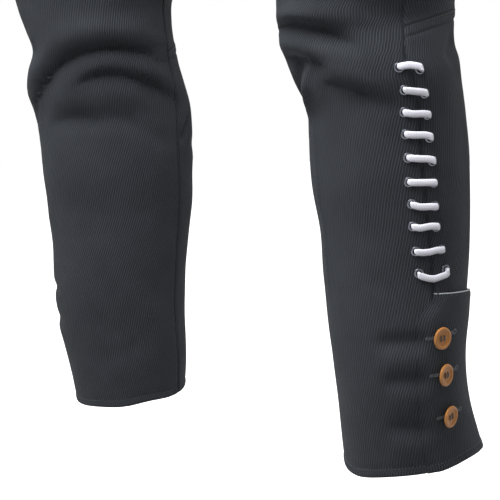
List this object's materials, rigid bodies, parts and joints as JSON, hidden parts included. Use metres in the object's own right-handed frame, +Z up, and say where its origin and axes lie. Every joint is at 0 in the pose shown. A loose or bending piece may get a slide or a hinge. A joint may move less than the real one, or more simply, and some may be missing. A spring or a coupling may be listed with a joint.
{
  "type": "riding breeches with laced calves, filled out as worn",
  "caption": "Riding breeches with flared thighs, close laced calves and buttoned cuffs, hollow as worn.",
  "frame": {"origin": "middle of the waist opening, level with the waistband's top edge", "axes": "+Z up, -Y the way the garment's front faces, +X the wearer's left"},
  "size_m": [0.5015, 0.262, 0.9589],
  "materials": {
    "twill": "matt dark slate grey whipcord twill with a fine steep rib",
    "lace": "braided cotton lace, white with a faint lilac cast",
    "eyelet": "dull gunmetal",
    "button": "tan wood, satin"
  },
  "bodies": {
    "root": {"front_left": "twill", "back_left": "twill", "calf_left": "twill", "tab_left": "twill", "eyelet_left_front_1": "eyelet", "eyelet_left_front_2": "eyelet", "eyelet_left_front_3": "eyelet", "eyelet_left_front_4": "eyelet", "eyelet_left_front_5": "eyelet", "eyelet_left_front_6": "eyelet", "eyelet_left_front_7": "eyelet", "eyelet_left_front_8": "eyelet", "eyelet_left_front_9": "eyelet", "eyelet_left_front_10": "eyelet", "eyelet_left_back_1": "eyelet", "eyelet_left_back_2": "eyelet", "eyelet_left_back_3": "eyelet", "eyelet_left_back_4": "eyelet", "eyelet_left_back_5": "eyelet", "eyelet_left_back_6": "eyelet", "eyelet_left_back_7": "eyelet", "eyelet_left_back_8": "eyelet", "eyelet_left_back_9": "eyelet", "eyelet_left_back_10": "eyelet", "lace_left": "lace", "cuff_button_left_1": "button", "cuff_button_left_2": "button", "cuff_button_left_3": "button", "front_right": "twill", "back_right": "twill", "calf_right": "twill", "tab_right": "twill", "eyelet_right_front_1": "eyelet", "eyelet_right_front_2": "eyelet", "eyelet_right_front_3": "eyelet", "eyelet_right_front_4": "eyelet", "eyelet_right_front_5": "eyelet", "eyelet_right_front_6": "eyelet", "eyelet_right_front_7": "eyelet", "eyelet_right_front_8": "eyelet", "eyelet_right_front_9": "eyelet", "eyelet_right_front_10": "eyelet", "eyelet_right_back_1": "eyelet", "eyelet_right_back_2": "eyelet", "eyelet_right_back_3": "eyelet", "eyelet_right_back_4": "eyelet", "eyelet_right_back_5": "eyelet", "eyelet_right_back_6": "eyelet", "eyelet_right_back_7": "eyelet", "eyelet_right_back_8": "eyelet", "eyelet_right_back_9": "eyelet", "eyelet_right_back_10": "eyelet", "lace_right": "lace", "cuff_button_right_1": "button", "cuff_button_right_2": "button", "cuff_button_right_3": "button", "waistband": "twill", "fly": "twill", "waist_button": "button"}
  },
  "joints": []
}
